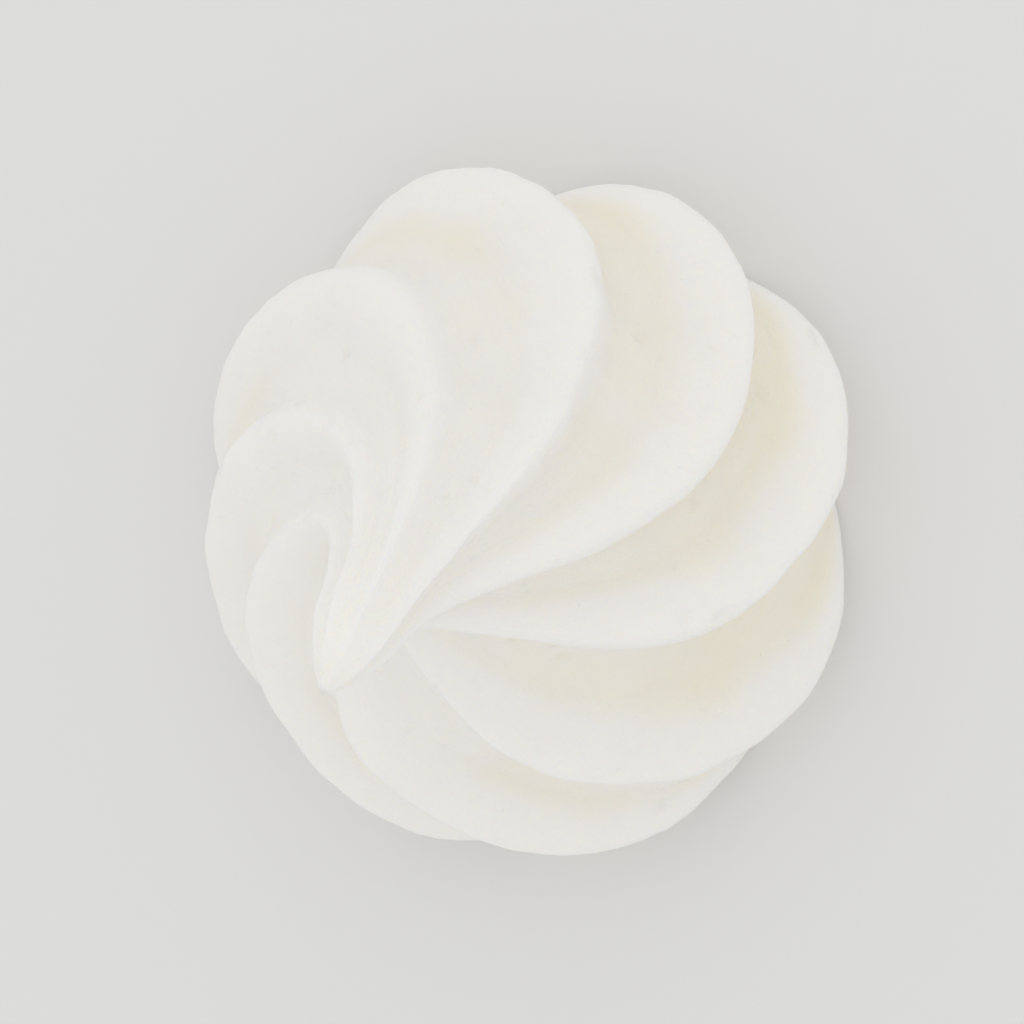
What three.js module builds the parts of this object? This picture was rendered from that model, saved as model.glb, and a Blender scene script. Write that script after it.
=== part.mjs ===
// A small piped meringue, baked crisp, standing on its flat foot.
//
// It is one solid. Whipped egg white and sugar leave a star nozzle as a
// rope with eight ridges. The nozzle turns while the rope is laid down, so
// the ridges wind round a fat belly, and then it is pulled up and away, which
// draws them together into a thin peak that falls over to one side.
//
// The frame: millimetres, +Z up, and the origin under the middle of the
// meringue's bounding box, on the surface that it stands on.

import * as THREE from 'three';
import { ParametricGeometry } from 'three/addons/geometries/ParametricGeometry.js';

const { clamp, degToRad, inverseLerp, lerp, smoothstep } = THREE.MathUtils;

// ---------------------------------------------------------------------------
// Driving dimensions, in millimetres and degrees
// ---------------------------------------------------------------------------

// The outline over the tops of the ridges, from the foot up to the peak.
const HEIGHT = 35;
const FOOT = { radius: 18.2, height: 0 };
const BELLY = { radius: 20.7, height: 5.3 };
const SHOULDER = { radius: 16.9, height: 14.0 };
const NECK = { radius: 9.6, height: 21.7 };
const PEAK_ROOT = { radius: 4.3, height: 28.4 };
const PEAK_END = { radius: 2.1, height: 33.4 };

// The ridges. Each width is the angle from the top of one ridge to the top of
// the next, counter-clockwise from above, and each swell is the share of the
// radius by which the ridge stands out: a hand-held bag lays them unevenly.
const FIRST_RIDGE = -5;
const RIDGE_WIDTHS = [54, 41, 46, 54, 47, 41, 38, 39];
const RIDGE_SWELLS = [0, 0.01, 0.01, 0.015, 0, -0.015, 0.01, 0.03];

// From a ridge's top, counter-clockwise round to the next one's, the foam falls
// into a crease and climbs out of it again. The higher RIDGE_FALL, the narrower
// the ridge's top; the higher RIDGE_CLIMB, the wider the hollow beyond the
// crease; and the higher RIDGE_CREST, the rounder the rim above that hollow.
const COLUMNS_PER_RIDGE = 14;
const CREASE_PLACE = 5 / COLUMNS_PER_RIDGE;
const RIDGE_FALL = 1.6;
const RIDGE_CLIMB = 3;
const RIDGE_CREST = 2.2;

// How deep the creases cut, as a share of the radius at each level, and how
// much of that depth the crease beyond each ridge has.
const FOOT_CREASE = 0.07;
const BELLY_CREASE = 0.14;
const SHOULDER_CREASE = 0.22;
const NECK_CREASE = 0.25;
const PEAK_CREASE = 0.27;
const TIP_CREASE = 0.12;
const CREASE_SHARES = [0.95, 1, 0.95, 0.8, 0.65, 0.65, 0.65, 0.7];

// The turn of the nozzle: fast while the belly is laid down, and slower as
// the rope is pulled up. TWIST_HASTE below 1 puts more of it near the foot.
const TWIST = 138;
const TWIST_HASTE = 0.76;
const TWIST_START = 0.02;

// The fall of the peak: how far its end lies from the meringue's middle, in
// which direction, and how late on the way up it starts to bend.
const PEAK_FALL = 10.4;
const PEAK_FALL_DIRECTION = 250;
const PEAK_FALL_LATENESS = 6;

// The mesh: rings across the foot and up the side.
const FOOT_RINGS = 3;
const SIDE_RINGS = 47;

// ---------------------------------------------------------------------------
// The outline and the ridges as functions of height and of place round it
// ---------------------------------------------------------------------------

const RIDGES = RIDGE_WIDTHS.length;
const RINGS = FOOT_RINGS + SIDE_RINGS;

const sideOutline = new THREE.SplineCurve(
  [FOOT, BELLY, SHOULDER, NECK, PEAK_ROOT, PEAK_END, { radius: 0, height: HEIGHT }].map(
    ({ radius, height }) => new THREE.Vector2(radius, height),
  ),
);

// The ring at a share of the way from the foot's middle to the tip.
function ringAt(share) {
  const ring = share * RINGS;
  if (ring <= FOOT_RINGS) {
    return { radius: (FOOT.radius * ring) / FOOT_RINGS, height: 0 };
  }
  const point = sideOutline.getPointAt(Math.min((ring - FOOT_RINGS) / SIDE_RINGS, 1));
  return { radius: Math.max(point.x, 0), height: point.y };
}

// A value that eases from one level's to the next level's on the way up.
function easeThrough(levels, height) {
  let value = levels[0].value;
  for (let i = 1; i < levels.length; i += 1) {
    const rise = smoothstep(height, levels[i - 1].height, levels[i].height);
    value = lerp(value, levels[i].value, rise);
  }
  return value;
}

const CREASE_LEVELS = [
  { height: 0, value: FOOT_CREASE },
  { height: BELLY.height, value: BELLY_CREASE },
  { height: SHOULDER.height, value: SHOULDER_CREASE },
  { height: NECK.height, value: NECK_CREASE },
  { height: PEAK_ROOT.height, value: PEAK_CREASE },
  { height: HEIGHT, value: TIP_CREASE },
];

function twistAt(height) {
  const share = clamp(height / HEIGHT, 0, 1);
  const ease = (x) => (x + TWIST_START) ** TWIST_HASTE;
  return TWIST * inverseLerp(ease(0), ease(1), ease(share));
}

// How deep in its crease a place is: 0 on a ridge's top, 1 in the crease. The
// place runs from 0 on one ridge's top to 1 on the next one's.
function hollowAt(place) {
  if (place < CREASE_PLACE) {
    return 1 - Math.cos((Math.PI / 2) * (place / CREASE_PLACE)) ** RIDGE_FALL;
  }
  const climb = ((place - CREASE_PLACE) / (1 - CREASE_PLACE)) ** RIDGE_CLIMB;
  return Math.cos((Math.PI / 2) * climb) ** RIDGE_CREST;
}

// Where the ridges' tops stand at the foot, and one more to close the circle.
const RIDGE_ANGLES = [FIRST_RIDGE];
for (const width of RIDGE_WIDTHS) {
  RIDGE_ANGLES.push(RIDGE_ANGLES.at(-1) + width);
}

function ridgeSwell(ridge, place) {
  return lerp(RIDGE_SWELLS[ridge], RIDGE_SWELLS[(ridge + 1) % RIDGES], smoothstep(place, 0, 1));
}

// The surface: round is the share of the way round, up that of the way from
// the foot's middle to the tip.
function meringueSurface(round, up, point) {
  const column = Math.round(round * RIDGES * COLUMNS_PER_RIDGE) % (RIDGES * COLUMNS_PER_RIDGE);
  const ridge = Math.floor(column / COLUMNS_PER_RIDGE);
  const place = (column % COLUMNS_PER_RIDGE) / COLUMNS_PER_RIDGE;
  const { radius, height } = ringAt(up);

  const crease = easeThrough(CREASE_LEVELS, height) * CREASE_SHARES[ridge] * hollowAt(place);
  const swell = ridgeSwell(ridge, place);
  const reach = radius * (1 + swell) * (1 - crease);
  const angle = RIDGE_ANGLES[ridge] + RIDGE_WIDTHS[ridge] * place - twistAt(height);

  // The ring is square to the line that the rope's middle follows as it falls.
  const share = clamp(height / HEIGHT, 0, 1);
  const fall = PEAK_FALL * share ** PEAK_FALL_LATENESS;
  const slope = ((PEAK_FALL * PEAK_FALL_LATENESS) / HEIGHT) * share ** (PEAK_FALL_LATENESS - 1);
  const tilt = Math.atan(slope);
  const fromFall = degToRad(angle - PEAK_FALL_DIRECTION);
  const along = fall + reach * Math.cos(fromFall) * Math.cos(tilt);
  const across = reach * Math.sin(fromFall);
  const direction = degToRad(PEAK_FALL_DIRECTION);
  point.set(
    along * Math.cos(direction) - across * Math.sin(direction),
    along * Math.sin(direction) + across * Math.cos(direction),
    height - reach * Math.cos(fromFall) * Math.sin(tilt),
  );
}

// ---------------------------------------------------------------------------
// The solid
// ---------------------------------------------------------------------------

function makeMeringue() {
  const geometry = new ParametricGeometry(meringueSurface, RIDGES * COLUMNS_PER_RIDGE, RINGS);
  geometry.computeBoundingBox();
  const middle = geometry.boundingBox.getCenter(new THREE.Vector3());
  geometry.translate(-middle.x, -middle.y, 0);

  const bakedMeringue = new THREE.MeshStandardMaterial({
    name: 'baked meringue',
    color: 0xf0ece2,
    roughness: 0.65,
    metalness: 0,
  });
  const meringue = new THREE.Mesh(geometry, bakedMeringue);
  meringue.name = 'meringue';
  return meringue;
}

const model = new THREE.Group();
model.add(makeMeringue());

export default model;
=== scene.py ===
# %% [markdown]
# # A piped meringue
#
# A meringue is whipped egg white and sugar, pressed out of a bag through a
# star-shaped nozzle and dried in a slow oven. The nozzle turns while the foam
# comes out, so its ridges wind round a fat belly, and then it is pulled up and
# away, which leaves a thin peak that falls over to one side.
#
# This lesson makes it in the same order: the star of the nozzle, the rope that
# the star leaves behind, the fall of the peak, the unevenness of a foam, and
# at last the finish, the light and the camera.

# %% Load the frame
import math
import random

import bmesh
import bpy
from mathutils import Matrix, Vector, geometry, kdtree, noise


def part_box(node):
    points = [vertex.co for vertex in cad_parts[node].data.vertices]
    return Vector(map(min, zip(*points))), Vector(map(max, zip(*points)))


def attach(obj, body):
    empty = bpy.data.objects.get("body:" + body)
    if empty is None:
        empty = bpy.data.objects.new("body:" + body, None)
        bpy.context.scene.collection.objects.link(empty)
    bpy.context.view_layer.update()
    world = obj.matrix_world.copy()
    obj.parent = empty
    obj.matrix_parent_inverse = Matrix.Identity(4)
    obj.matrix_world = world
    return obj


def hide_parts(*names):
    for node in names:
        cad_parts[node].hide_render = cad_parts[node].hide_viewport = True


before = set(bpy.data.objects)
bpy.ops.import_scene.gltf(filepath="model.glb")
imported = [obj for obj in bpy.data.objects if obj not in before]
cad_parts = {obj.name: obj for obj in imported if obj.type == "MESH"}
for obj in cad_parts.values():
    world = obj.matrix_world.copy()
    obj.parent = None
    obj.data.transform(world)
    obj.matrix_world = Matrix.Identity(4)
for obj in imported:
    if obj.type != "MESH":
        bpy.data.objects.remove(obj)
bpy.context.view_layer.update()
SOLID_LOW, SOLID_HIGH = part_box("meringue")
MM = 0.001


def in_mm(lengths):
    """Lengths in metres as a short list in millimetres, to print."""
    return [round(length / MM, 2) for length in lengths]


print("the solid measures", in_mm(SOLID_HIGH - SOLID_LOW), "mm")

# %% [markdown]
# ## The sizes
#
# A small meringue is about 40 mm across and a little less high. Blender works
# in metres, so a size is written in millimetres times MM. Angles are in degrees.
#
# The outline runs over the tops of the ridges, from the foot to the tip of the
# peak: each station is a radius and a height. A bag held by hand lays its ridges
# unevenly, so each one has its own width, its own swell as a share of the
# radius, and its own share of the depth of a crease. The depths of the creases
# are shares of the radius too, at the heights beside them. PLACES points lie
# across each ridge, from its top round to the top of the next one.
#
# TWIST is the whole turn of the nozzle, and a TWIST_HASTE below 1 puts more of
# it near the foot. The end of the peak falls PEAK_FALL to one side, and the
# higher PEAK_FALL_LATENESS is, the later on its way up the rope starts to bend.

# %% Sizes
HEIGHT = 35 * MM
OUTLINE = [
    (18.2 * MM, 0),
    (20.7 * MM, 5.3 * MM),
    (16.9 * MM, 14.0 * MM),
    (9.6 * MM, 21.7 * MM),
    (4.3 * MM, 28.4 * MM),
    (2.1 * MM, 33.4 * MM),
    (0, HEIGHT),
]
FIRST_RIDGE = -5
RIDGE_WIDTHS = [54, 41, 46, 54, 47, 41, 38, 39]
RIDGE_SWELLS = [0, 0.01, 0.01, 0.015, 0, -0.015, 0.01, 0.03]
CREASE_SHARES = [0.95, 1, 0.95, 0.8, 0.65, 0.65, 0.65, 0.7]
RIDGES = len(RIDGE_WIDTHS)
PLACES = 14
COLUMNS = RIDGES * PLACES
CREASE_PLACE = 5 / PLACES
RIDGE_FALL = 1.6
RIDGE_CLIMB = 3
RIDGE_CREST = 2.2
CREASES = [
    (0, 0.07),
    (5.3 * MM, 0.14),
    (14.0 * MM, 0.22),
    (21.7 * MM, 0.25),
    (28.4 * MM, 0.27),
    (HEIGHT, 0.12),
]
TWIST = 138
TWIST_HASTE = 0.76
TWIST_START = 0.02
PEAK_FALL = 10.4 * MM
PEAK_FALL_DIRECTION = 250
PEAK_FALL_LATENESS = 6
SAME_PLACE = 0.01 * MM


def ease(share):
    """A soft start and a soft stop between 0 and 1."""
    share = min(max(share, 0), 1)
    return share * share * (3 - 2 * share)


# %% [markdown]
# ## The outline, cut into rings
#
# The rope is built ring by ring, so the outline is first drawn as a smooth
# curve through its stations and then cut into steps of equal length. At each
# station the curve runs along the line between the two stations beside it,
# and its handles are a sixth of that line, which gives it no kinks. Equal
# steps keep the faces about as high as they are wide on the belly, which a
# subdivision surface likes.

# %% Draw the outline and cut it
SIDE_RINGS = 50
CURVE_STEPS = 40
HANDLE_PARTS = 6


def outline_points():
    """Points along a smooth curve through the outline's stations."""
    stations = [Vector((radius, 0, height)) for radius, height in OUTLINE]
    ends_twice = [stations[0], *stations, stations[-1]]
    points = []
    for before, start, end, after in zip(ends_twice, ends_twice[1:], ends_twice[2:], ends_twice[3:]):
        leaving = start + (end - before) / HANDLE_PARTS
        arriving = end - (after - start) / HANDLE_PARTS
        points += geometry.interpolate_bezier(start, leaving, arriving, end, CURVE_STEPS)[:-1]
    return points + stations[-1:]


def evenly_spaced(points, count):
    """The same line, cut into steps of equal length."""
    lengths = [0]
    for a, b in zip(points, points[1:]):
        lengths.append(lengths[-1] + (b - a).length)
    spaced, i = [], 0
    for step in range(count + 1):
        goal = lengths[-1] * step / count
        while i < len(points) - 2 and lengths[i + 1] < goal:
            i += 1
        share = (goal - lengths[i]) / (lengths[i + 1] - lengths[i])
        spaced.append(points[i].lerp(points[i + 1], share))
    return spaced


RINGS = [(point.x, point.z) for point in evenly_spaced(outline_points(), SIDE_RINGS)]
print(len(RINGS), "rings, the widest and the highest:", in_mm(map(max, zip(*RINGS))), "mm")

# %% [markdown]
# ## How the ridges change on the way up
#
# Three rules describe the ridges. The creases cut deeper towards the peak,
# because the rope grows thin while the nozzle's teeth stay the same, and some
# creases are deeper than others. The nozzle turns fast while the belly is laid
# down and slower as it is pulled up. And across a ridge, from its top round to
# the next one's top, the foam falls quickly into the crease, stays low in a
# wide hollow, and climbs to the next rim. RIDGE_FALL makes the top of a ridge
# narrower, RIDGE_CLIMB makes the hollow wider, and RIDGE_CREST rounds the rim.
# In reach, the first rule and the third come together.

# %% The three rules
def crease_depth(height):
    """How deep the creases cut at a height, as a share of the radius."""
    depth = CREASES[0][1]
    for (low, _), (high, value) in zip(CREASES, CREASES[1:]):
        depth += (value - depth) * ease((height - low) / (high - low))
    return depth


def twist(height):
    """How far the nozzle has turned at a height, in degrees."""
    def pace(share):
        return (share + TWIST_START) ** TWIST_HASTE
    share = min(max(height / HEIGHT, 0), 1)
    return TWIST * (pace(share) - pace(0)) / (pace(1) - pace(0))


def hollow(place):
    """0 on a ridge's top and 1 in its crease, at a share of the way to the next top."""
    if place < CREASE_PLACE:
        return 1 - math.cos(math.pi / 2 * place / CREASE_PLACE) ** RIDGE_FALL
    climb = ((place - CREASE_PLACE) / (1 - CREASE_PLACE)) ** RIDGE_CLIMB
    return math.cos(math.pi / 2 * climb) ** RIDGE_CREST


def crease_share(column):
    """How much of its level's crease depth a column of the rope has."""
    ridge, step = divmod(column, PLACES)
    return CREASE_SHARES[ridge] * hollow(step / PLACES)


def reach(column, height):
    """How far out the foam reaches in a column, as a share of the outline's radius."""
    return 1 - crease_depth(height) * crease_share(column)


print("across a ridge:", [round(hollow(step / PLACES), 2) for step in range(PLACES + 1)])

# %% [markdown]
# ## The star of the nozzle
#
# The foam takes its section from the nozzle. The star could be drawn as a
# curve, but a circle whose points are turned and pushed in one by one gives
# every ridge the same number of points, and that keeps the ridges apart when
# the star is pulled into a rope. Each point is given the number of its column
# round the rope, and what is extruded from it keeps that number. It is also
# told where on the rope it lies and how deep in its crease, which the finish
# needs later.

# %% A circle becomes a star
def turn(degrees, centre=(0, 0, 0), axis="Z"):
    """Turns what is selected counter-clockwise about an axis."""
    bpy.ops.transform.rotate(value=-math.radians(degrees), orient_axis=axis, center_override=centre)


def widen(factor, centre=(0, 0, 0)):
    """Scales what is selected sideways, away from the centre."""
    bpy.ops.transform.resize(value=(factor, factor, 1), center_override=centre)


def edit(piece):
    """The piece's mesh as edit mode sees it, and its points' columns."""
    shape = bmesh.from_edit_mesh(piece.data)
    return shape, shape.verts.layers.int["column"]


def mark(vert, layers, height):
    """Notes on a point where it lies on the rope, round and along it, and how deep."""
    column = vert[layers.int["column"]]
    angle = 2 * math.pi * column / COLUMNS
    vert[layers.float_vector["rope"]] = (math.cos(angle), math.sin(angle), height / HEIGHT)
    vert[layers.float["hollow"]] = crease_share(column)


bpy.ops.object.select_all(action="DESELECT")
bpy.ops.mesh.primitive_circle_add(vertices=COLUMNS, radius=OUTLINE[0][0])
meringue = bpy.context.object
meringue.name = meringue.data.name = "piped_meringue"
meringue.data.attributes.new("column", "INT", "POINT")
meringue.data.attributes.new("rope", "FLOAT_VECTOR", "POINT")
meringue.data.attributes.new("hollow", "FLOAT", "POINT")
bpy.ops.object.mode_set(mode="EDIT")
shape, column_of = edit(meringue)
star = list(shape.verts)
ridge_top = FIRST_RIDGE - PEAK_FALL_DIRECTION
for ridge, width in enumerate(RIDGE_WIDTHS):
    swell, next_swell = RIDGE_SWELLS[ridge], RIDGE_SWELLS[(ridge + 1) % RIDGES]
    for step in range(PLACES):
        bpy.ops.mesh.select_all(action="DESELECT")
        vert = star[ridge * PLACES + step]
        vert.select_set(True)
        vert[column_of] = ridge * PLACES + step
        mark(vert, shape.verts.layers, 0)
        goal = ridge_top + width * step / PLACES
        turn(goal - math.degrees(math.atan2(vert.co.y, vert.co.x)))
        here = swell + (next_swell - swell) * ease(step / PLACES)
        widen((1 + here) * reach(ridge * PLACES + step, 0))
    ridge_top += width
print("the star has", len(star), "points on", RIDGES, "ridges")

# %% [markdown]
# ## The rope
#
# Now the nozzle leaves the table. Each ring is the one below it, extruded,
# lifted, turned on and scaled to the outline. Then its hollows are scaled a
# little more, because they grow deeper towards the peak. Columns that lie
# alike in their creases are scaled together. The last ring is merged into the
# tip.

# %% Pull the star up, ring by ring
alike = {}
for column in range(COLUMNS):
    alike.setdefault((column % PLACES, CREASE_SHARES[column // PLACES]), []).append(column)
bpy.ops.mesh.select_all(action="SELECT")
for (radius, height), (next_radius, next_height) in zip(RINGS, RINGS[1:]):
    centre = (0, 0, next_height)
    bpy.ops.mesh.extrude_region_move(TRANSFORM_OT_translate={"value": (0, 0, next_height - height)})
    if next_radius < SAME_PLACE:
        bpy.ops.mesh.merge(type="CENTER")
        break
    turn(twist(height) - twist(next_height), centre)
    widen(next_radius / radius, centre)
    shape, column_of = edit(meringue)
    ring = [vert for vert in shape.verts if vert.select]
    for columns in alike.values():
        for vert in ring:
            vert.select_set(vert[column_of] in columns)
        widen(reach(columns[0], next_height) / reach(columns[0], height), centre)
    for vert in ring:
        vert.select_set(True)
        mark(vert, shape.verts.layers, next_height)
shape = bmesh.from_edit_mesh(meringue.data)
print("the rope has", len(shape.verts), "points")

# %% [markdown]
# ## The foot
#
# The foot was piped on a baking sheet, so it is flat. The lowest ring is
# extruded inwards: first by a little, which holds the rim of the foot in
# place when the shape is smoothed, then in wider steps to the middle.

# %% Close the foot
FOOT_STEPS = [0.95, 0.72, 0.55, 0.5]
for vert in shape.verts:
    vert.select_set(vert.co.z < SAME_PLACE)
shape.select_flush(True)
for factor in FOOT_STEPS:
    bpy.ops.mesh.extrude_region_move()
    widen(factor)
bpy.ops.mesh.extrude_region_move()
bpy.ops.mesh.merge(type="CENTER")
bpy.ops.mesh.select_all(action="SELECT")
bpy.ops.mesh.normals_make_consistent(inside=False)
print("closed with", len(bmesh.from_edit_mesh(meringue.data).faces), "faces")

# %% [markdown]
# ## The fall of the peak
#
# A wet peak can't carry itself, and falls over as the nozzle lets go. A bend
# could do it, but a bend of the whole rope would move the belly too. So each
# ring, known by its rounded height, is pushed sideways by a share of the fall
# that grows fast towards the tip, and tilted until it is square to the rope
# again. The fall is made along X, and then the meringue is turned to the side
# where its peak lies.

# %% Lay the peak over
LEAST_FALL = 0.02 * MM
LEVEL_DIGITS = 3
shape = bmesh.from_edit_mesh(meringue.data)
levels = {}
for vert in shape.verts:
    levels.setdefault(round(vert.co.z / MM, LEVEL_DIGITS), []).append(vert)
for level, ring in sorted(levels.items()):
    share = level * MM / HEIGHT
    fall = PEAK_FALL * share**PEAK_FALL_LATENESS
    if fall < LEAST_FALL:
        continue
    slope = PEAK_FALL * PEAK_FALL_LATENESS / HEIGHT * share ** (PEAK_FALL_LATENESS - 1)
    bpy.ops.mesh.select_all(action="DESELECT")
    for vert in ring:
        vert.select_set(True)
    turn(math.degrees(math.atan(slope)), (0, 0, level * MM), "Y")
    bpy.ops.transform.translate(value=(fall, 0, 0))
bpy.ops.object.mode_set(mode="OBJECT")
meringue.rotation_euler.z = math.radians(PEAK_FALL_DIRECTION)
bpy.ops.object.transform_apply(rotation=True)

# %% [markdown]
# ## Smooth the rope
#
# Two levels of subdivision turn the rings into foam-smooth skin. The modifier
# is applied, because the small marks that follow are pressed into its points.

# %% Subdivide
SMOOTHING_LEVELS = 2
bpy.ops.object.modifier_add(type="SUBSURF")
smoothing = meringue.modifiers[-1]
smoothing.levels = smoothing.render_levels = SMOOTHING_LEVELS
bpy.ops.object.modifier_apply(modifier=smoothing.name)
bpy.ops.object.shade_smooth()
print("smooth:", len(meringue.data.polygons), "faces")

# %% [markdown]
# ## Set it down
#
# The origin of the model lies under the middle of the box round it, and the
# fall of the peak has moved that middle. The meringue is moved as a whole, until
# its foot is on the table and its middle over the middle of the plain solid.

# %% Move it to where the solid stands
def box_of(piece):
    """The lowest and the highest corner of the box round a piece's points."""
    places = [vert.co for vert in piece.data.vertices]
    return Vector(map(min, zip(*places))), Vector(map(max, zip(*places)))


low, high = box_of(meringue)
goal = (SOLID_LOW + SOLID_HIGH) / 2
shift = Vector((goal.x - (low.x + high.x) / 2, goal.y - (low.y + high.y) / 2, -low.z))
meringue.data.transform(Matrix.Translation(shift))
print("the box is", in_mm(high - low), "mm, moved by", in_mm(shift), "mm")

# %% [markdown]
# ## An uneven foam
#
# Foam leaves the bag in small pushes, and it bulges and sags while it dries.
# Two cloud textures press this into the skin, a coarse one for the swells and a
# finer one for the bumps. They must not lift the foot off the table, so a
# group of points says how much each may move: nothing at the table, and
# everything from a few millimetres up. Too much fine detail would dent the
# rims' clean lines, so each texture has only one finer layer.

# %% Swells and bumps
SWELL_SIZE = 8 * MM
SWELL_DEPTH = 0.8 * MM
BUMP_SIZE = 3 * MM
BUMP_DEPTH = 0.16 * MM
FINER_LAYERS = 1
FREE_HEIGHT = 2.5 * MM
FREE_GROUP = "free_to_move"
free = meringue.vertex_groups.new(name=FREE_GROUP)
for vert in meringue.data.vertices:
    free.add([vert.index], ease(vert.co.z / FREE_HEIGHT), "REPLACE")


def displace(name, size, depth):
    """Presses a cloud texture into the meringue, with lumps about size across."""
    texture = bpy.data.textures.new(name, "CLOUDS")
    texture.noise_scale = size
    texture.noise_depth = FINER_LAYERS
    bpy.ops.object.modifier_add(type="DISPLACE")
    modifier = meringue.modifiers[-1]
    modifier.texture = texture
    modifier.texture_coords = "LOCAL"
    modifier.strength = depth
    modifier.vertex_group = FREE_GROUP
    bpy.ops.object.modifier_apply(modifier=modifier.name)


displace("swells", SWELL_SIZE, SWELL_DEPTH)
displace("bumps", BUMP_SIZE, BUMP_DEPTH)
low, high = box_of(meringue)
print("after the swells the box is", in_mm(high - low), "mm")

# %% [markdown]
# ## Drag lines and torn rims
#
# The teeth of the nozzle scratch fine lines along the rope, and they tear the
# rims a little. A Displace modifier reads its texture straight through space,
# so it can't follow the turning rope. The points were given their places on
# the rope for this: noise that is read there runs along the ridges, because it
# changes fast round the rope and slowly along it. Wide lines and half as wide
# ones lie over each other. Neither lines nor tears reach the foot or the tip.

# %% Press in the lines and tear the rims
LINES_ROUND = 7
LINES_ALONG = 1.6
LINE_DEPTH = 0.07 * MM
FINER_LINES = 2
FINER_SHARE = 0.5
FINER_SHIFT = 9
RIM_SIZE = 1.6 * MM
RIM_DEPTH = 0.07 * MM
RIM_NARROWNESS = 3
THIN_END = 0.12


def lines_at(place, fineness=1, shift=0):
    """Noise at a place on the rope that runs along it as lines."""
    x, y, along = (share * fineness for share in place)
    return noise.noise(Vector((x * LINES_ROUND, y * LINES_ROUND, along * LINES_ALONG + shift)))


rope = meringue.data.attributes["rope"].data
hollows = meringue.data.attributes["hollow"].data
moves = []
for vert in meringue.data.vertices:
    place = rope[vert.index].vector
    lines = lines_at(place) + FINER_SHARE * lines_at(place, FINER_LINES, FINER_SHIFT)
    on_rim = (1 - hollows[vert.index].value) ** RIM_NARROWNESS
    tears = noise.noise(vert.co / RIM_SIZE) * on_rim
    share = ease(vert.co.z / FREE_HEIGHT) * ease((1 - place[2]) / THIN_END)
    moves.append(vert.normal * share * (LINE_DEPTH * lines + RIM_DEPTH * tears))
for vert, move in zip(meringue.data.vertices, moves):
    vert.co += move
print("moved by up to", in_mm([max(move.length for move in moves)]), "mm")

# %% [markdown]
# ## Burst bubbles
#
# The largest bubbles of the foam break open at the skin and leave shallow pits.
# They could be cut with a Boolean, but so small a cut would leave ragged
# faces. Each pit is pressed in instead: the points near its middle are pushed
# inwards, most in the middle and not at all at the brim. Its depth is a share
# of its radius, and the higher PIT_SHRINK is, the more pits are small. Blender
# may number the points differently each time, so a pit's middle isn't picked by
# number: it is the point that lies nearest to a random place on the rope, at a
# share of its height between the two in PIT_HEIGHTS.

# %% Press in the pits
PITS = 150
PIT_RADII = (0.35 * MM, 0.85 * MM)
PIT_SHRINK = 0.5
PIT_DEPTH = 0.32
PIT_HEIGHTS = (0.08, 0.9)
PIT_SEED = 11


def tree_of(places):
    """A tree of places that finds the ones near to another place fast."""
    tree = kdtree.KDTree(len(places))
    for index, place in enumerate(places):
        tree.insert(place, index)
    tree.balance()
    return tree


rope_tree = tree_of([point.vector for point in rope])
space_tree = tree_of([vert.co for vert in meringue.data.vertices])
random.seed(PIT_SEED)
for _ in range(PITS):
    angle = random.uniform(0, 2 * math.pi)
    place = (math.cos(angle), math.sin(angle), random.uniform(*PIT_HEIGHTS))
    pit = meringue.data.vertices[rope_tree.find(place)[1]]
    radius = random.uniform(*PIT_RADII) * random.random() ** PIT_SHRINK
    inwards = -pit.normal.copy()
    for _, index, distance in space_tree.find_range(pit.co.copy(), radius):
        share = (1 - (distance / radius) ** 2) ** 2
        meringue.data.vertices[index].co += inwards * PIT_DEPTH * radius * share
meringue.data.update()
print("pressed", PITS, "pits")

# %% [markdown]
# ## Helpers for the materials
#
# A material is a small net of nodes. The first helper adds a node and fills
# its inputs: where the value is another node's socket, it is linked. The
# others are short names for the nodes that the finish needs most: a mix of two
# colours, a noise, an eased step from one value to another, and sums. A Mix
# node has sockets for every kind of value, so those for colours are known by
# their numbers.

# %% Helpers
CLOUD_RANGE = (0.3, 0.7)
MIX_SHARE = 0
MIX_FIRST = 6
MIX_SECOND = 7
MIX_RESULT = 2


def add_node(nodes, kind, inputs=(), **settings):
    """Adds a node, with its settings, and sets or links its inputs."""
    new = nodes.new("ShaderNode" + kind)
    for name, value in settings.items():
        setattr(new, name, value)
    for name, value in dict(inputs).items():
        if isinstance(value, bpy.types.NodeSocket):
            new.id_data.links.new(value, new.inputs[name])
        else:
            new.inputs[name].default_value = value
    return new


def blend(nodes, share, first, second):
    """A colour between two others: share 0 gives the first, 1 the second."""
    inputs = {MIX_SHARE: share, MIX_FIRST: first, MIX_SECOND: second}
    return add_node(nodes, "Mix", inputs, data_type="RGBA").outputs[MIX_RESULT]


def clouds(nodes, where, size, detail=3):
    """Noise whose lumps are about size across. Most of it lies in CLOUD_RANGE."""
    inputs = {"Vector": where, "Scale": 1 / size, "Detail": detail}
    return add_node(nodes, "TexNoise", inputs).outputs["Fac"]


def ramp(nodes, value, low, high, start=0, end=1):
    """Eases from start to end while the value goes from low to high."""
    inputs = {"Value": value, "From Min": low, "From Max": high, "To Min": start, "To Max": end}
    return add_node(nodes, "MapRange", inputs, interpolation_type="SMOOTHSTEP").outputs["Result"]


def math_node(nodes, operation, first, second, clamp=False):
    """Works out one value from two others."""
    node = add_node(nodes, "Math", {0: first, 1: second}, operation=operation, use_clamp=clamp)
    return node.outputs["Value"]


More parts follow.
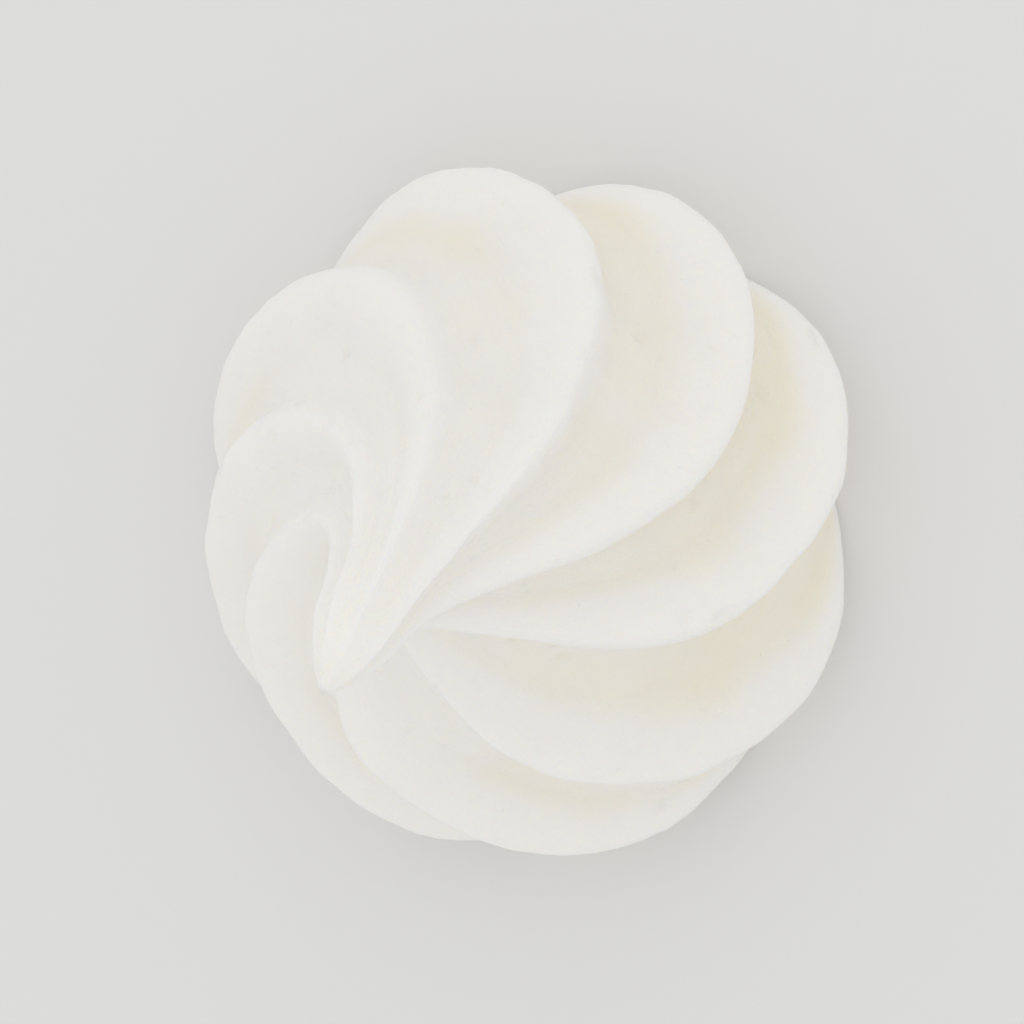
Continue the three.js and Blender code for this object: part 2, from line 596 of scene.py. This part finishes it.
# %% [markdown]
# ## The finish: colour
#
# Dried egg white is white where it stands out. Where it lies in a fold it is
# painted a warmer cream. This is painted shade, which stands for the warm light
# that bounces from one cream wall to the other. The painted shade follows how
# deep a point lies in its crease. It is painted strongest low on the belly and
# fades towards the peak. Soft clouds make it uneven from fold to fold, and faint
# clouds of cream are the foam's own uneven tone. The foot has lain on the hot
# sheet, which toasts it in patches, and the thin end of the peak is a little
# toasted too. Creases don't show under the foot, so the painted fold shade ends
# just above the sheet. A pair such as FOLD_DEPTHS says where a step starts and
# where it is complete.

# %% The colour of baked meringue, with painted shade in the folds
WHITE = (0.955, 0.925, 0.886, 1)
# CREAM_AND_FOLD_SHADE is the foam's own faint cream in patches, and also the painted shade in the
# folds.
CREAM_AND_FOLD_SHADE = (0.955, 0.876, 0.740, 1)
TOASTED = (0.760, 0.640, 0.460, 1)
SHEET_REACH = 0.8 * MM
# The painted shade in the folds: how deep in a crease it starts and is complete, and its clouds.
FOLD_DEPTHS = (0.45, 1.05)
FOLD_CLOUDS = 7 * MM
FOLD_UNEVENNESS = 0.1
# The painted fold shade is strongest low on the belly and fades towards the peak.
FOLD_SHADE_FADES = (0.1, 0.9)
FOLD_SHADE_AT_PEAK = 0.15
PATCH_CLOUDS = 4 * MM
PATCH_CREAM = 0.06
FOOT_TOAST = 0.35
FOOT_TOAST_HEIGHT = 1.8 * MM
FOOT_PATCH_RANGE = (0.35, 0.65)
FOOT_PATCH_LEAST = 0.4
PEAK_TOAST = 0.10
PEAK_TOAST_START = 0.96
baked = bpy.data.materials.new("baked_meringue")
baked.use_nodes = True
nodes = baked.node_tree.nodes
shader = nodes["Principled BSDF"]
space = add_node(nodes, "TexCoord").outputs["Object"]
on_rope = add_node(nodes, "Attribute", attribute_name="rope").outputs["Vector"]
in_hollow = add_node(nodes, "Attribute", attribute_name="hollow").outputs["Fac"]
height_above = add_node(nodes, "SeparateXYZ", {"Vector": space}).outputs["Z"]
along_rope = add_node(nodes, "SeparateXYZ", {"Vector": on_rope}).outputs["Z"]

off_sheet = ramp(nodes, height_above, 0, SHEET_REACH)
fold_shade_fading = ramp(nodes, along_rope, *FOLD_SHADE_FADES, 1, FOLD_SHADE_AT_PEAK)
below_peak = math_node(nodes, "MULTIPLY", off_sheet, fold_shade_fading)
fold_clouds = clouds(nodes, space, FOLD_CLOUDS, detail=0)
uneven = ramp(nodes, fold_clouds, *CLOUD_RANGE, -FOLD_UNEVENNESS, FOLD_UNEVENNESS)
# Painted shade: a warm cream painted into the creases, as if light bounced between their walls.
deep = ramp(nodes, math_node(nodes, "ADD", in_hollow, uneven), *FOLD_DEPTHS)
painted_fold_shade = math_node(nodes, "MULTIPLY", deep, below_peak)
patch_clouds = clouds(nodes, space, PATCH_CLOUDS, detail=1)
patches = ramp(nodes, patch_clouds, *CLOUD_RANGE, -PATCH_CREAM, PATCH_CREAM)
# The painted fold shade and the foam's own cream patches share one colour.
cream_and_fold_shade = math_node(nodes, "ADD", painted_fold_shade, patches, clamp=True)

near_sheet = ramp(nodes, height_above, 0, FOOT_TOAST_HEIGHT, FOOT_TOAST, 0)
foot_clouds = clouds(nodes, space, PATCH_CLOUDS)
foot_patches = ramp(nodes, foot_clouds, *FOOT_PATCH_RANGE, FOOT_PATCH_LEAST, 1)
foot_toast = math_node(nodes, "MULTIPLY", near_sheet, foot_patches)
peak_toast = ramp(nodes, along_rope, PEAK_TOAST_START, 1, 0, PEAK_TOAST)
toast = math_node(nodes, "MAXIMUM", foot_toast, peak_toast)
colour = blend(nodes, toast, blend(nodes, cream_and_fold_shade, WHITE, CREAM_AND_FOLD_SHADE), TOASTED)
baked.node_tree.links.new(colour, shader.inputs["Base Color"])

# %% [markdown]
# ## The finish: skin
#
# What is too fine for the mesh is made by bump: fine lines along the rope, the
# pores, and the grain of the foam. The lines read the same places on the rope
# as the drag lines do, and run out before the tip. A cell texture gives the
# pores, one in the middle of a cell, and only about a quarter of the cells
# have one. PORE_RADIUS is a share of the size of a cell.

# %% The relief of the skin
LINE_SCALES = (26, 26, 5)
LINE_BUMP = 0.05 * MM
LINE_FADES = (0.8, 1)
PORE_CELL = 0.85 * MM
PORE_RADIUS = 0.16
PORE_SHARE = (0.3, 0.4)
PORE_BUMP = 0.04 * MM
GRAIN_SIZE = 0.16 * MM
GRAIN_BUMP = 0.032 * MM


def relief(nodes, height, depth, below=None):
    """Bump of a depth, on top of the bump below it, if there is any."""
    inputs = {"Height": height, "Distance": depth}
    if below is not None:
        inputs["Normal"] = below
    return add_node(nodes, "Bump", inputs).outputs["Normal"]


line_places = add_node(nodes, "Mapping", {"Vector": on_rope, "Scale": LINE_SCALES})
line_noise = clouds(nodes, line_places.outputs["Vector"], 1, detail=2)
short_of_tip = ramp(nodes, along_rope, *LINE_FADES, 1, 0)
line_share = math_node(nodes, "MULTIPLY", off_sheet, short_of_tip)
line_height = math_node(nodes, "MULTIPLY", line_noise, line_share)
cells = add_node(nodes, "TexVoronoi", {"Vector": space, "Scale": 1 / PORE_CELL})
open_cells = ramp(nodes, cells.outputs["Color"], *PORE_SHARE, 1, 0)
in_pore = ramp(nodes, cells.outputs["Distance"], 0, PORE_RADIUS, 1, 0)
pore_height = math_node(nodes, "SUBTRACT", 1, math_node(nodes, "MULTIPLY", in_pore, open_cells))
lines = relief(nodes, line_height, LINE_BUMP)
pores = relief(nodes, pore_height, PORE_BUMP, lines)
grain = relief(nodes, clouds(nodes, space, GRAIN_SIZE), GRAIN_BUMP, pores)
baked.node_tree.links.new(grain, shader.inputs["Normal"])

# %% [markdown]
# ## The finish: gloss and depth
#
# The skin is dry and nearly matt, in some places a little smoother than in
# others. Light also goes a little way into the foam and comes out beside where
# it went in, which softens the shade in the folds. Subsurface scattering does
# that, and red light goes farthest.

# %% How the skin takes the light
ROUGHNESS_CLOUDS = 2 * MM
ROUGHNESS_RANGE = (0.58, 0.74)
GLOSS = 0.35
SCATTER_SHARE = 0.6
SCATTER_DEPTH = 2.2 * MM
SCATTER_COLOURS = (1.0, 0.85, 0.65)
roughness_clouds = clouds(nodes, space, ROUGHNESS_CLOUDS)
roughness = ramp(nodes, roughness_clouds, *CLOUD_RANGE, *ROUGHNESS_RANGE)
baked.node_tree.links.new(roughness, shader.inputs["Roughness"])
shader.inputs["Specular IOR Level"].default_value = GLOSS
shader.inputs["Subsurface Weight"].default_value = SCATTER_SHARE
shader.inputs["Subsurface Scale"].default_value = SCATTER_DEPTH
shader.inputs["Subsurface Radius"].default_value = SCATTER_COLOURS
meringue.data.materials.append(baked)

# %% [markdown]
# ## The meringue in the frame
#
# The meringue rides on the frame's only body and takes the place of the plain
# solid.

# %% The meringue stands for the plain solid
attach(meringue, "root")
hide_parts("meringue")
triangles = sum(len(face.vertices) - 2 for face in meringue.data.polygons)
print(meringue.name, "has", triangles, "triangles")

# %% [markdown]
# ## The table
#
# The meringue is shown on a plain pale table. It isn't part of the model.

# %% A pale table
TABLE_SIZE = 4
TABLE_COLOUR = (0.82, 0.82, 0.815, 1)
TABLE_ROUGHNESS = 0.8
bpy.ops.object.select_all(action="DESELECT")
bpy.ops.mesh.primitive_plane_add(size=TABLE_SIZE)
table = bpy.context.object
table.name = "table_top"
paint = bpy.data.materials.new("pale_table")
paint.use_nodes = True
paint.node_tree.nodes["Principled BSDF"].inputs["Base Color"].default_value = TABLE_COLOUR
paint.node_tree.nodes["Principled BSDF"].inputs["Roughness"].default_value = TABLE_ROUGHNESS
table.data.materials.append(paint)

# %% [markdown]
# ## The light
#
# White foam is easily burnt out, and hard light would draw black lines into
# its folds. Nearly all the light comes evenly from all round, as in a bright
# room, and the world's background gives that. One large soft lamp above the far
# side makes the rims a little brighter than the folds.

# %% Even daylight and one softbox
MIDDLE = Vector((0, 0, 12 * MM))
LAMP_PLACE = Vector((0, 0.30, 0.34))
LAMP_SIZE = 0.40
LAMP_WATTS = 0.085
DAYLIGHT_COLOUR = (1, 1, 1, 1)
DAYLIGHT_STRENGTH = 0.85
towards_middle = (MIDDLE - LAMP_PLACE).to_track_quat("-Z", "Y").to_euler()
bpy.ops.object.light_add(type="AREA", location=LAMP_PLACE, rotation=towards_middle)
softbox = bpy.context.object
softbox.name = "softbox"
softbox.data.shape = "DISK"
softbox.data.size = LAMP_SIZE
softbox.data.energy = LAMP_WATTS
daylight = bpy.data.worlds.new("daylight")
bpy.context.scene.world = daylight
daylight.use_nodes = True
daylight.node_tree.nodes["Background"].inputs["Color"].default_value = DAYLIGHT_COLOUR
daylight.node_tree.nodes["Background"].inputs["Strength"].default_value = DAYLIGHT_STRENGTH
bpy.context.scene.view_settings.view_transform = "Standard"
print(softbox.name, "hangs", in_mm([(LAMP_PLACE - MIDDLE).length]), "mm from the meringue")

# %% [markdown]
# ## The camera
#
# The camera looks down steeply, as one looks at cakes in an open box, from the
# side that makes the peak point to the lower left. A long lens from a little
# way off keeps the ridges from looking wider near the edge.

# %% Look down at the meringue
CAMERA_ANGLE = 4
CAMERA_ELEVATION = 75
CAMERA_DISTANCE = 0.30
LENS = 180
AIM = Vector((1 * MM, 0, 12 * MM))
UP_IN_VIEW = Vector((0, 1, 0))
angle = math.radians(CAMERA_ANGLE)
elevation = math.radians(CAMERA_ELEVATION)
level = Vector((math.cos(angle), math.sin(angle), 0))
back = level * math.cos(elevation) + Vector((0, 0, math.sin(elevation)))
right = UP_IN_VIEW.cross(back).normalized()
turned = Matrix((right, back.cross(right), back)).transposed()
bpy.ops.object.camera_add(location=AIM + back * CAMERA_DISTANCE, rotation=turned.to_euler())
camera = bpy.context.object
camera.data.lens = LENS
bpy.context.scene.camera = camera
print("the camera is", in_mm([CAMERA_DISTANCE]), "mm away, with a lens of", LENS, "mm")
